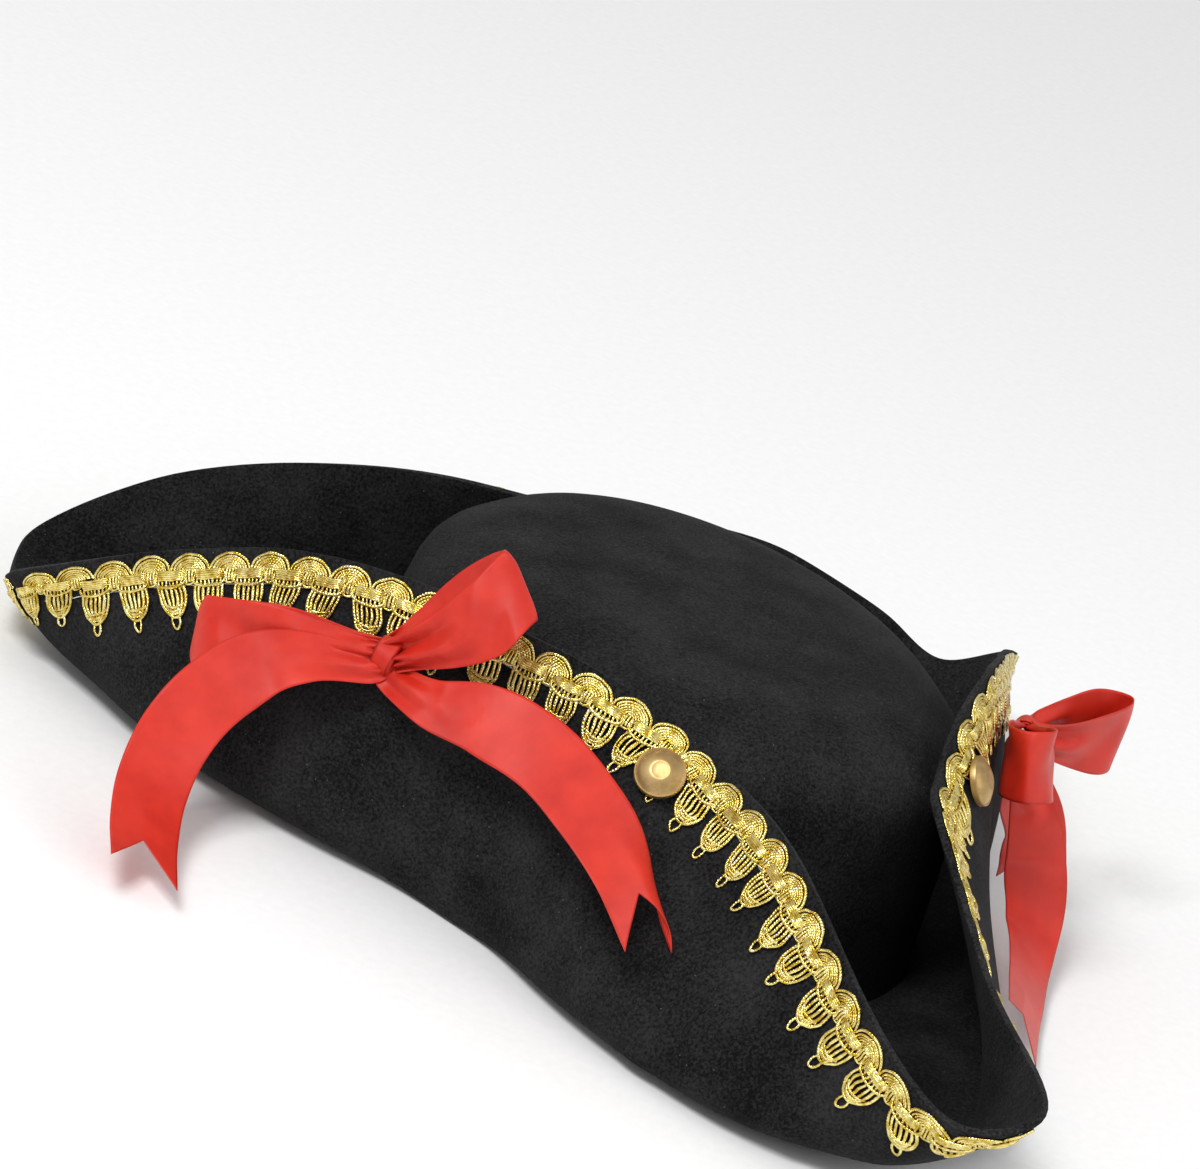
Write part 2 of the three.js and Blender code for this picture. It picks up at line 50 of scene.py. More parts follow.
# Camera at the photograph's angle: the hat stands on its brim and is seen from its right front
camera = {
    "place": Vector((-943.4, -1355.9, 726.7)) * mm,
    "azimuth": -33.677,
    "elevation": 21.504,
    "roll": 19.619,
    "lens": 178.7,
    "sensor": 36,
    "farthest": 20,
}


def setCamera():
    azimuth, elevation, roll = (math.radians(camera[name]) for name in ("azimuth", "elevation", "roll"))
    back = Vector((math.sin(azimuth) * math.cos(elevation), -math.cos(azimuth) * math.cos(elevation),
                   math.sin(elevation)))
    level = Vector((math.cos(azimuth), math.sin(azimuth), 0))
    rise = back.cross(level)
    across = math.cos(roll) * level + math.sin(roll) * rise
    up = math.cos(roll) * rise - math.sin(roll) * level
    bpy.ops.object.camera_add()
    eye = bpy.context.object
    eye.name = "photoCamera"
    eye.matrix_world = Matrix.Translation(camera["place"]) @ Matrix((across, up, back)).transposed().to_4x4()
    eye.data.sensor_width = camera["sensor"]
    eye.data.lens = camera["lens"]
    eye.data.clip_end = camera["farthest"]
    bpy.context.scene.camera = eye


setCamera()


# Small helpers for the modelling
def pick(*pieces):
    bpy.ops.object.select_all(action="DESELECT")
    for piece in pieces:
        piece.select_set(True)
    bpy.context.view_layer.objects.active = pieces[0]


def applyModifier(piece, kind, **settings):
    pick(piece)
    modifier = piece.modifiers.new(kind.lower(), kind)
    for name, value in settings.items():
        setattr(modifier, name, value)
    bpy.ops.object.modifier_apply(modifier=modifier.name)


def joinPieces(pieces, name):
    pick(*pieces)
    bpy.ops.object.join()
    joined = bpy.context.object
    joined.name = name
    joined.data.name = name
    return joined


def copyPiece(piece, name):
    copied = piece.copy()
    copied.data = piece.data.copy()
    copied.name = name
    bpy.context.scene.collection.objects.link(copied)
    return copied


def finishPiece(piece, replaced=()):
    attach(piece, "root")
    if replaced:
        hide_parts(*replaced)
    return piece


def smoothStep(value, low, high):
    share = min(1, max(0, (value - low) / (high - low)))
    return share * share * (3 - 2 * share)


# Finishes
def newMaterial(name):
    material = bpy.data.materials.new(name)
    material.use_nodes = True
    tree = material.node_tree
    return material, tree.nodes, tree.links, tree.nodes["Principled BSDF"]


def addNoise(nodes, links, place, scale, detail=3, roughness=0.6):
    speckle = nodes.new("ShaderNodeTexNoise")
    speckle.inputs["Scale"].default_value = scale
    speckle.inputs["Detail"].default_value = detail
    speckle.inputs["Roughness"].default_value = roughness
    links.new(place, speckle.inputs["Vector"])
    return speckle.outputs["Fac"]


def addRamp(nodes, links, source, stops):
    stops = list(stops)
    ramp = nodes.new("ShaderNodeValToRGB")
    elements = ramp.color_ramp.elements
    while len(elements) < len(stops):
        elements.new(0.5)
    for element, (position, colour) in zip(elements, stops):
        element.position = position
        element.color = (*colour, 1)
    links.new(source, ramp.inputs["Fac"])
    return ramp.outputs["Color"]


def addBump(nodes, links, height, distance, strength=1, before=None):
    bump = nodes.new("ShaderNodeBump")
    bump.inputs["Strength"].default_value = strength
    bump.inputs["Distance"].default_value = distance
    links.new(height, bump.inputs["Height"])
    if before is not None:
        links.new(before, bump.inputs["Normal"])
    return bump.outputs["Normal"]


feltFinish = {
    "dark": (0.0018, 0.0017, 0.0018),
    "light": (0.029, 0.028, 0.0295),
    "lint": (0.13, 0.125, 0.125),
    "roughness": 0.95,
    "sheen": 0.03,
    "sheenRoughness": 0.5,
    "sheenTint": (0.55, 0.55, 0.6),
    "specular": 0.14,
    "ramp": (0.62, 0.98),
    "fuzzScale": 1100,
    "fuzzDepth": 0.4 * mm,
    "cloudScale": 45,
    "cloudShare": 0.5,
    "cloudDepth": 0.5 * mm,
    "lintScale": 260,
    "lintShare": 0.028,
}
cutFinish = {"dark": (0.004, 0.0038, 0.004), "light": (0.042, 0.04, 0.041)}


def feltMaterial(name, dark, light, lint=True):
    material, nodes, links, shader = newMaterial(name)
    place = nodes.new("ShaderNodeTexCoord").outputs["Object"]
    fuzz = addNoise(nodes, links, place, feltFinish["fuzzScale"], 4, 0.7)
    cloud = addNoise(nodes, links, place, feltFinish["cloudScale"], 5, 0.55)
    blend = nodes.new("ShaderNodeMath")
    blend.operation = "MULTIPLY_ADD"
    blend.inputs[1].default_value = feltFinish["cloudShare"]
    links.new(cloud, blend.inputs[0])
    links.new(fuzz, blend.inputs[2])
    colour = addRamp(nodes, links, blend.outputs[0], zip(feltFinish["ramp"], (dark, light)))
    if lint:
        cells = nodes.new("ShaderNodeTexVoronoi")
        cells.inputs["Scale"].default_value = feltFinish["lintScale"]
        links.new(place, cells.inputs["Vector"])
        specks = addRamp(nodes, links, cells.outputs["Distance"], (
            (0.0, (1, 1, 1)), (feltFinish["lintShare"], (1, 1, 1)), (feltFinish["lintShare"] * 2, (0, 0, 0))))
        mix = nodes.new("ShaderNodeMix")
        mix.data_type = "RGBA"
        mix.inputs["B"].default_value = (*feltFinish["lint"], 1)
        links.new(specks, mix.inputs["Factor"])
        links.new(colour, mix.inputs["A"])
        colour = mix.outputs["Result"]
    links.new(colour, shader.inputs["Base Color"])
    shader.inputs["Roughness"].default_value = feltFinish["roughness"]
    shader.inputs["Specular IOR Level"].default_value = feltFinish["specular"]
    shader.inputs["Sheen Weight"].default_value = feltFinish["sheen"]
    shader.inputs["Sheen Roughness"].default_value = feltFinish["sheenRoughness"]
    shader.inputs["Sheen Tint"].default_value = (*feltFinish["sheenTint"], 1)
    coarse = addBump(nodes, links, cloud, feltFinish["cloudDepth"], 0.15)
    links.new(addBump(nodes, links, fuzz, feltFinish["fuzzDepth"], 0.8, coarse), shader.inputs["Normal"])
    return material


goldFinish = {
    "thread": (0.97, 0.84, 0.34),
    # darker brownish gold: painted shade, laid in random patches over the braid
    "shadedGold": (0.56, 0.38, 0.035),
    "roughness": 0.18,
    "goldShadeScale": 420,
    "twists": 1.0,
    "twistDepth": 0.14 * mm,
    "twistStrength": 0.6,
}


def goldMaterial():
    material, nodes, links, shader = newMaterial("goldThread")
    coordinates = nodes.new("ShaderNodeTexCoord")
    twist = nodes.new("ShaderNodeTexWave")
    twist.wave_type = "BANDS"
    twist.bands_direction = "DIAGONAL"
    twist.inputs["Scale"].default_value = goldFinish["twists"]
    links.new(coordinates.outputs["UV"], twist.inputs["Vector"])
    # Random patches of darker brownish gold are painted shade over the braid's cords
    goldShade = addNoise(nodes, links, coordinates.outputs["Object"], goldFinish["goldShadeScale"])
    colour = addRamp(nodes, links, goldShade, ((0.35, goldFinish["shadedGold"]), (0.6, goldFinish["thread"])))
    links.new(colour, shader.inputs["Base Color"])
    shader.inputs["Metallic"].default_value = 1
    shader.inputs["Roughness"].default_value = goldFinish["roughness"]
    links.new(addBump(nodes, links, twist.outputs["Fac"], goldFinish["twistDepth"], goldFinish["twistStrength"]),
              shader.inputs["Normal"])
    return material


sewingFinish = {
    "dark": (0.5, 0.49, 0.44),
    "light": (0.78, 0.77, 0.72),
    "roughness": 0.8,
    "fluffScale": 1800,
    "fluffDepth": 0.1 * mm,
}


def sewingMaterial():
    material, nodes, links, shader = newMaterial("sewingThread")
    place = nodes.new("ShaderNodeTexCoord").outputs["Object"]
    fluff = addNoise(nodes, links, place, sewingFinish["fluffScale"])
    colour = addRamp(nodes, links, fluff, ((0.3, sewingFinish["dark"]), (0.7, sewingFinish["light"])))
    links.new(colour, shader.inputs["Base Color"])
    shader.inputs["Roughness"].default_value = sewingFinish["roughness"]
    links.new(addBump(nodes, links, fluff, sewingFinish["fluffDepth"], 0.6), shader.inputs["Normal"])
    return material


brassFinish = {
    "tarnished": (0.36, 0.225, 0.085),
    "clean": (0.62, 0.44, 0.2),
    "tarnishedRoughness": 0.52,
    "cleanRoughness": 0.42,
    "tarnishScale": 160,
    "grainScale": 2600,
    "grainDepth": 0.05 * mm,
}


def brassMaterial():
    material, nodes, links, shader = newMaterial("studBrass")
    place = nodes.new("ShaderNodeTexCoord").outputs["Object"]
    tarnish = addNoise(nodes, links, place, brassFinish["tarnishScale"], 5, 0.65)
    grain = addNoise(nodes, links, place, brassFinish["grainScale"], 2, 0.5)
    colour = addRamp(nodes, links, tarnish, ((0.3, brassFinish["tarnished"]), (0.7, brassFinish["clean"])))
    links.new(colour, shader.inputs["Base Color"])
    roughness = addRamp(nodes, links, tarnish, ((0.3, (brassFinish["tarnishedRoughness"],) * 3),
                                                (0.7, (brassFinish["cleanRoughness"],) * 3)))
    links.new(roughness, shader.inputs["Roughness"])
    shader.inputs["Metallic"].default_value = 1
    links.new(addBump(nodes, links, grain, brassFinish["grainDepth"], 0.25), shader.inputs["Normal"])
    return material


satinFinish = {
    # lit and shaded copies of the red, mixed in random patches: painted light and shade
    "litSatin": (0.66, 0.027, 0.01),
    "shadedSatin": (0.52, 0.014, 0.005),
    "roughness": 0.38,
    "anisotropy": 0.55,
    "specular": 0.4,
    "sheen": 0.03,
    "sheenTint": (1, 0.5, 0.42),
    "shadeScale": 90,
    "threads": 260,
    "threadDistortion": 1.5,
    "threadDepth": 0.03 * mm,
    "wrinkleScale": 220,
    "wrinkleDepth": 0.25 * mm,
}


def satinMaterial():
    material, nodes, links, shader = newMaterial("redSatin")
    coordinates = nodes.new("ShaderNodeTexCoord")
    threads = nodes.new("ShaderNodeTexWave")
    threads.wave_type = "BANDS"
    threads.bands_direction = "X"
    threads.inputs["Scale"].default_value = satinFinish["threads"]
    threads.inputs["Distortion"].default_value = satinFinish["threadDistortion"]
    links.new(coordinates.outputs["UV"], threads.inputs["Vector"])
    # Random patches between shaded and lit red are painted light and shade on the satin
    shade = addNoise(nodes, links, coordinates.outputs["Object"], satinFinish["shadeScale"], 4)
    colour = addRamp(nodes, links, shade, ((0.3, satinFinish["shadedSatin"]), (0.7, satinFinish["litSatin"])))
    links.new(colour, shader.inputs["Base Color"])
    shader.inputs["Roughness"].default_value = satinFinish["roughness"]
    shader.inputs["Anisotropic"].default_value = satinFinish["anisotropy"]
    shader.inputs["Specular IOR Level"].default_value = satinFinish["specular"]
    shader.inputs["Sheen Weight"].default_value = satinFinish["sheen"]
    shader.inputs["Sheen Tint"].default_value = (*satinFinish["sheenTint"], 1)
    tangent = nodes.new("ShaderNodeTangent")
    tangent.direction_type = "UV_MAP"
    links.new(tangent.outputs["Tangent"], shader.inputs["Tangent"])
    wrinkle = addNoise(nodes, links, coordinates.outputs["Object"], satinFinish["wrinkleScale"], 3, 0.5)
    soft = addBump(nodes, links, wrinkle, satinFinish["wrinkleDepth"], 0.3)
    links.new(addBump(nodes, links, threads.outputs["Fac"], satinFinish["threadDepth"], 0.5, soft),
              shader.inputs["Normal"])
    return material


felt = feltMaterial("blackFelt", feltFinish["dark"], feltFinish["light"])
cutFelt = feltMaterial("cutFelt", cutFinish["dark"], cutFinish["light"], lint=False)
gold = goldMaterial()
sewing = sewingMaterial()
brass = brassMaterial()
satin = satinMaterial()
print("finishes made")

# Felt: the blocked shape smoothed, with a cut edge that is a little worn
feltBody = {
    "mergeDistance": 0.01 * mm,
    "quadAngle": 50,
    "sharpAngle": 50,
    "levels": 2,
    "fitRounds": 3,
    "edgeRound": 0.35 * mm,
}


def markCutEdge(piece):
    mesh = bmesh.new()
    mesh.from_mesh(piece.data)
    crease = mesh.edges.layers.float.get("crease_edge") or mesh.edges.layers.float.new("crease_edge")
    sharp = {edge for edge in mesh.edges if edge.calc_face_angle(0) > math.radians(feltBody["sharpAngle"])}
    for edge in sharp:
        edge[crease] = 1
    for face in mesh.faces:
        if sum(edge in sharp for edge in face.edges) >= 2:
            face.material_index = 1
    mesh.to_mesh(piece.data)
    mesh.free()


# The cage is moved until the smooth skin passes through the points of the blocked shape
def fitCage(piece):
    goal = [vertex.co.copy() for vertex in piece.data.vertices]
    modifier = piece.modifiers.new("smooth", "SUBSURF")
    modifier.levels = modifier.render_levels = 1
    for _ in range(feltBody["fitRounds"]):
        shown = piece.evaluated_get(bpy.context.evaluated_depsgraph_get())
        reached = [shown.data.vertices[i].co.copy() for i in range(len(goal))]
        for vertex, wanted, here in zip(piece.data.vertices, goal, reached):
            vertex.co += wanted - here
        piece.data.update()
    piece.modifiers.remove(modifier)


def buildFelt():
    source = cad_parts["hat_body"]
    piece = bpy.data.objects.new("hatFelt", source.data.copy())
    bpy.context.scene.collection.objects.link(piece)
    pick(piece)
    bpy.ops.object.mode_set(mode="EDIT")
    bpy.ops.mesh.select_all(action="SELECT")
    bpy.ops.mesh.remove_doubles(threshold=feltBody["mergeDistance"])
    angle = math.radians(feltBody["quadAngle"])
    bpy.ops.mesh.tris_convert_to_quads(face_threshold=angle, shape_threshold=angle)
    bpy.ops.object.mode_set(mode="OBJECT")
    piece.data.materials.clear()
    piece.data.materials.append(felt)
    piece.data.materials.append(cutFelt)
    markCutEdge(piece)
    fitCage(piece)
    applyModifier(piece, "SUBSURF", levels=feltBody["levels"], render_levels=feltBody["levels"])
    return piece


# The two lines of the cut edge, each as its points in order with the face of felt beside it
def edgeLines(piece):
    mesh = bmesh.new()
    mesh.from_mesh(piece.data)
    mesh.normal_update()
    rim = {edge for edge in mesh.edges
           if len(edge.link_faces) == 2 and len({face.material_index for face in edge.link_faces}) == 2}
    lines = []
    while rim:
        first = min(rim, key=lambda edge: edge.index)
        rim.discard(first)
        corner, last = first.verts
        line = []
        edge = first
        while edge is not None:
            skin = next(face for face in edge.link_faces if face.material_index == 0)
            line.append((corner.co.copy(), skin.normal.copy()))
            corner = edge.other_vert(corner)
            edge = next((other for other in corner.link_edges if other in rim), None)
            rim.discard(edge)
        lines.append(line)
    mesh.free()

    def outwardness(line):
        total = sum((normal.dot(Vector((place.x, place.y, 0)).normalized() - Vector((0, 0, 0.5)))
                     for place, normal in line))
        return total / len(line)

    return sorted(lines, key=outwardness)


hatFelt = buildFelt()
outerLine = edgeLines(hatFelt)[1]
feltTree = BVHTree.FromPolygons([vertex.co for vertex in hatFelt.data.vertices],
                                [tuple(face.vertices) for face in hatFelt.data.polygons])


def roundCutEdge(piece):
    pick(piece)
    mesh = bmesh.new()
    mesh.from_mesh(piece.data)
    for edge in mesh.edges:
        edge.select = len({face.material_index for face in edge.link_faces}) == 2
    mesh.select_flush(False)
    mesh.to_mesh(piece.data)
    mesh.free()
    bpy.ops.object.mode_set(mode="EDIT")
    bpy.ops.mesh.select_mode(type="EDGE")
    bpy.ops.mesh.bevel(offset=feltBody["edgeRound"], segments=2, affect="EDGES")
    bpy.ops.object.mode_set(mode="OBJECT")
    bpy.ops.object.shade_smooth()


roundCutEdge(hatFelt)
finishPiece(hatFelt, ["hat_body"])
print("felt made", len(outerLine), "points along its outer edge")

# Gold braid: one repeat drawn flat in millimetres, x along the brim, y up to the edge and z off the felt
braid = {
    "repeat": 13.8,
    # half width, height, radius and height off the felt of each nested cord
    "arches": ((6.7, 5.3, 0.52, 0.55), (5.55, 4.3, 0.42, 0.75), (4.7, 3.55, 0.42, 0.6), (3.85, 2.85, 0.42, 0.8),
               (3.0, 2.15, 0.42, 0.6), (2.1, 1.5, 0.42, 0.75), (1.2, 0.9, 0.42, 0.65)),
    "bandTop": -5.3,
    "bandHeight": 2.6,
    "bandWidth": 9.6,
    "bandRows": 5,
    "bandPitch": 0.62,
    "strandPitch": 1.35,
    "uprightPitch": 1.55,
    # radius of each kind of cord
    "cords": {"closing": 0.46, "lip": 0.4, "band": 0.42, "strand": 0.42, "sagging": 0.48, "outline": 0.56,
              "upright": 0.56, "foot": 0.46, "hanger": 0.44},
    "cordRounding": 1,
    # each repeat hangs a little off its line and swings away from a stud
    "bellDrop": 15,
    "swing": 4.0,
    "lean": 0.15,
    "unevenness": 0.16,
    "unevenScale": 0.45,
    "shorten": 0.72,
    "pushReach": 15,
    "push": 22,
    "stitchDrop": 9.3,
    "stitchRadius": 0.16,
    "stitchSag": 0.25,
    "seed": 11,
}
braidRuns = {
    "braid_right": {"start": -119, "end": -1, "repeats": 30, "margin": 1.2},
    "braid_left": {"start": 2.2, "end": 119, "repeats": 28, "margin": 0.6},
    "braid_back": {"start": 119, "end": 241, "repeats": 30, "margin": 0.6},
}


def drawCord(points, radius, steps=3, twist=1.3):
    bpy.ops.curve.primitive_bezier_curve_add()
    cord = bpy.context.object
    spline = cord.data.splines[0]
    spline.bezier_points.add(len(points) - 2)
    for knot, point in zip(spline.bezier_points, points):
        knot.co = point
        knot.handle_left_type = knot.handle_right_type = "AUTO"
    cord.data.resolution_u = steps
    cord.data.bevel_depth = radius
    cord.data.bevel_resolution = braid["cordRounding"]
    cord.data.use_fill_caps = True
    pick(cord)
    bpy.ops.object.convert(target="MESH")
    cord = bpy.context.object
    length = sum((Vector(a) - Vector(b)).length for a, b in zip(points, points[1:]))
    for corner in cord.data.uv_layers[0].data:
        corner.uv = (corner.uv.x * length / twist, corner.uv.y)
    return cord


def drawArch(middle, halfWidth, height, foot, radius, depth):
    points = []
    for step in range(9):
        angle = math.pi * step / 8
        points.append((middle + halfWidth * math.cos(angle), foot + height * math.sin(angle), depth))
    return drawCord(points, radius, 2)


def drawRepeat():
    cords = []
    half = braid["repeat"] / 2
    foot = braid["bandTop"]
    low = foot - braid["bandHeight"]
    radii = braid["cords"]
    # Scallop of nested cords that runs from one bell's band to the next
    for halfWidth, height, radius, depth in braid["arches"]:
        cords.append(drawArch(half, halfWidth, height, foot - 0.4, radius, depth))
    # Loops that close the scallop between two bells
    for step in (-1, 0, 1):
        cords.append(drawCord([(half + step * 0.95, foot + 0.5, 0.6), (half + step * 1.05, foot - 1.3, 0.95),
                               (half + step * 0.95, low - 0.6, 0.6)], radii["closing"]))
    cords.append(drawCord([(half - 1.7, foot - 0.6, 0.5), (half - 1.5, low - 0.6, 0.6), (half, low - 1.3, 0.75),
                           (half + 1.5, low - 0.6, 0.6), (half + 1.7, foot - 0.6, 0.5)], radii["lip"]))
    # Band that gathers the cords over the bell
    for row in range(braid["bandRows"]):
        y = foot + 0.1 - row * braid["bandPitch"]
        bow = 0.45 - 0.1 * abs(row - 2)
        width = braid["bandWidth"] / 2 - 0.16 * abs(row - 1)
        cords.append(drawCord([(-width, y, 0.5), (-width * 0.86, y, 0.95 + bow), (0, y - 0.12, 1.1 + bow),
                               (width * 0.86, y, 0.95 + bow), (width, y, 0.5)], radii["band"], twist=2.2))
    # Short strands under the band
    for step in range(-3, 4):
        x = step * braid["strandPitch"]
        cords.append(drawCord([(x, low + 0.4, 0.9), (x, low - 0.9, 0.95), (x * 0.97, low - 2.0, 0.75)],
                              radii["strand"], 2))
    # Cord that sags across the head of the bell
    cords.append(drawCord([(-half + 1.3, low + 0.4, 0.7), (-4.9, low - 0.9, 1.15), (-2.6, low - 1.8, 1.5),
                           (0, low - 2.1, 1.6), (2.6, low - 1.8, 1.5), (4.9, low - 0.9, 1.15),
                           (half - 1.3, low + 0.4, 0.7)], radii["sagging"], 2))
    # Bell: a looped outline, upright cords inside it and two cords across its foot
    cords.append(drawCord([(-4.6, low - 1.0, 0.6), (-4.75, low - 4.4, 0.75), (-3.9, low - 7.8, 0.75),
                           (-1.9, low - 10.2, 0.75), (0, low - 10.9, 0.75), (1.9, low - 10.2, 0.75),
                           (3.9, low - 7.8, 0.75), (4.75, low - 4.4, 0.75), (4.6, low - 1.0, 0.6)],
                          radii["outline"]))
    for step in range(-2, 3):
        x = step * braid["uprightPitch"]
        cords.append(drawCord([(x, low - 1.4, 0.8), (x * 1.08, low - 4.2, 1.05), (x * 0.88, low - 7.4, 0.95),
                               (x * 0.45, low - 10.1, 0.8)], radii["upright"]))
    for row, width in ((-7.7, 3.6), (-8.8, 2.9)):
        y = low + row
        cords.append(drawCord([(-width, y + 0.9, 0.7), (-width / 2, y, 1.35), (0, y - 0.3, 1.5),
                               (width / 2, y, 1.35), (width, y + 0.9, 0.7)], radii["foot"], 2))
    # Loop that hangs from the bell's foot
    cords.append(drawCord([(-0.9, low - 10.2, 0.6), (-1.35, low - 12.0, 0.7), (-0.9, low - 13.8, 0.7),
                           (0, low - 14.5, 0.7), (0.9, low - 13.8, 0.7), (1.35, low - 12.0, 0.7),
                           (0.9, low - 10.2, 0.6)], radii["hanger"], 2))
    return joinPieces(cords, "braidRepeat")


def layRepeats(repeat, run, name, lattice, rng):
    piece = copyPiece(repeat, name)
    rows = [vertex.co.copy() for vertex in piece.data.vertices]
    studs = [sum(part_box(node), Vector()) / 2 for node in ("stud_right", "stud_left")]
    applyModifier(piece, "ARRAY", count=run["repeats"], use_relative_offset=False, use_constant_offset=True,
                  constant_offset_displace=(braid["repeat"], 0, 0))
    size = len(rows)
    for count in range(run["repeats"]):
        swing = math.radians(rng.gauss(0, braid["swing"]))
        lean = rng.gauss(0, braid["lean"])
        atCorner = max(smoothStep(2.5 - count, 0, 2), smoothStep(count - run["repeats"] + 3.5, 0, 2))
        shrink = 1 - (1 - braid["shorten"]) * atCorner
        middle = (count + 0.5) * braid["repeat"]
        foot = lattice(middle, -braid["bellDrop"], 1)
        ahead = lattice(middle + 2, -braid["bellDrop"], 1) - lattice(middle - 2, -braid["bellDrop"], 1)
        for place in studs:
            near = (foot - place).length / mm
            if near < braid["pushReach"]:
                away = 1 if (foot - place).dot(ahead) > 0 else -1
                swing += away * math.radians(braid["push"]) * (1 - (near / braid["pushReach"]) ** 2)
        wobble = Vector((rng.uniform(0, 50), rng.uniform(0, 50), count * 3.7))
        for i in range(size):
            x, y, z = rows[i]
            drop = max(0, braid["bandTop"] - y)
            x += swing * drop * smoothStep(drop, 2, 8)
            z += lean * smoothStep(drop, 3, 12)
            shake = noise.noise_vector(rows[i] * braid["unevenScale"] + wobble) * braid["unevenness"] * 2
            x, y, z = x + shake.x, y + shake.y, z + shake.z * 0.5
            along = middle + x
            piece.data.vertices[count * size + i].co = lattice(along, y * shrink, z)
    return piece


# Steps along and below the brim's edge at which the felt is measured for the braid
latticeGrid = {"spacing": 1.15 * mm, "dropStep": 1.6 * mm, "dropSteps": 16, "endGap": 3 * mm, "offFelt": 0.2 * mm}


# Surface under one length of braid: distance along the edge, distance below it and height off the felt
def makeLattice(run):
    def turnOf(point):
        turn = math.degrees(math.atan2(point.x, -point.y))
        middle = (run["start"] + run["end"]) / 2
        return turn + 360 * round((middle - turn) / 360)

    start = min(range(len(outerLine)), key=lambda i: abs(turnOf(outerLine[i][0]) - run["start"]))
    step = 1 if turnOf(outerLine[(start + 3) % len(outerLine)][0]) > turnOf(outerLine[start][0]) else -1
    spots = [outerLine[start]]
    index = start
    while turnOf(outerLine[index][0]) < run["end"] and len(spots) < len(outerLine):
        index = (index + step) % len(outerLine)
        spots.append(outerLine[index])
    lengths = [0]
    for (a, _), (b, _) in zip(spots, spots[1:]):
        lengths.append(lengths[-1] + (b - a).length)
    spacing, dropStep = latticeGrid["spacing"], latticeGrid["dropStep"]
    count = int(lengths[-1] / spacing)
    edge = []
    j = 0
    for i in range(count + 1):
        want = lengths[-1] * i / count
        while lengths[j + 1] < want and j < len(lengths) - 2:
            j += 1
        share = (want - lengths[j]) / (lengths[j + 1] - lengths[j])
        edge.append((spots[j][0].lerp(spots[j + 1][0], share), spots[j][1].lerp(spots[j + 1][1], share).normalized()))
    rows = []
    for i, (point, normal) in enumerate(edge):
        ahead = edge[min(i + 2, count)][0] - edge[max(i - 2, 0)][0]
        down = ahead.cross(normal).normalized()
        line = [(point, normal)]
        here = point
        for _ in range(latticeGrid["dropSteps"]):
            down = (down - normal * down.dot(normal)).normalized()
            near, face, _, _ = feltTree.find_nearest(here + down * dropStep + normal * latticeGrid["offFelt"])
            if face.dot(normal) > 0.3:
                normal = face.normalized()
            down = (near - here).normalized() if (near - here).length > 0.3 * mm else down
            here = near
            line.append((here, normal))
        rows.append(line)
    rows = smoothRows(rows)
    usable = lengths[-1] - 2 * latticeGrid["endGap"]
    scale = usable / (run["repeats"] * braid["repeat"])

    def lattice(along, y, z):
        s = (latticeGrid["endGap"] + along * scale) / spacing * (spacing * count / lengths[-1])
        k = (run["margin"] - y) * mm / dropStep
        s = min(count - 1e-6, max(0, s))
        i = int(s)
        fi = s - i
        j = min(latticeGrid["dropSteps"] - 2, max(0, int(k)))
        fj = k - j
        (a, na), (b, nb) = rows[i][j], rows[i][j + 1]
        (c, nc), (d, nd) = rows[i + 1][j], rows[i + 1][j + 1]
        place = a.lerp(b, fj).lerp(c.lerp(d, fj), fi)
        normal = na.lerp(nb, min(1, max(0, fj))).lerp(nc.lerp(nd, min(1, max(0, fj))), fi).normalized()
        return place + normal * z * mm

    return lattice


def smoothRows(rows):
    count, depth = len(rows), len(rows[0])
    result = []
    for i in range(count):
        line = []
        for k in range(depth):
            normal = Vector((0, 0, 0))
            for di in (-3, -2, -1, 0, 1, 2, 3):
                for dk in (-1, 0, 1):
                    normal += rows[min(count - 1, max(0, i + di))][min(depth - 1, max(0, k + dk))][1]
            line.append((rows[i][k][0], normal.normalized()))
        result.append(line)
    return result


# Thread that sews the braid down, in long stitches under the heads of the bells
def sewBraid(run, lattice, name):
    points = []
    for count in range(1, run["repeats"] - 1):
        for share in (0.0, 0.25, 0.5, 0.75):
            sag = braid["stitchSag"] * math.sin(7.1 * count + 6.28 * share)
            points.append(lattice((count + share) * braid["repeat"], sag - braid["stitchDrop"], 0.3))
    thread = drawCord(points, braid["stitchRadius"] * mm, 2)
    thread.name = name
    thread.data.materials.append(sewing)
    bpy.ops.object.shade_smooth()
    return finishPiece(thread)


def buildBraid():
    repeat = drawRepeat()
    repeat.data.materials.clear()
    repeat.data.materials.append(gold)
    rng = random.Random(braid["seed"])
    noise.seed_set(braid["seed"])
    for name, run in braidRuns.items():
        lattice = makeLattice(run)
        piece = layRepeats(repeat, run, "gimp_" + name, lattice, rng)
        pick(piece)
        bpy.ops.object.shade_smooth()
        finishPiece(piece, [name])
        sewBraid(run, lattice, "stitches_" + name)
    bpy.data.objects.remove(repeat)


buildBraid()
print("braid made")

# Brass studs, each a pressed cap with a flat round in its middle
stud = {
    "sides": 64,
    "sharpAngle": 40,
    # radius and height over the cap's back in millimetres, from the underside of its rim to the flat round
    "profile": ((6.9, -1.3), (7.5, -1.0), (7.5, 0.3), (7.38, 0.65), (7.1, 0.75), (6.85, 0.6), (6.6, 0.72),
                (6.2, 1.15), (5.4, 1.7), (4.4, 2.2), (3.4, 2.6), (2.85, 2.78), (2.6, 2.8), (2.4, 2.74), (1.2, 2.7)),
}


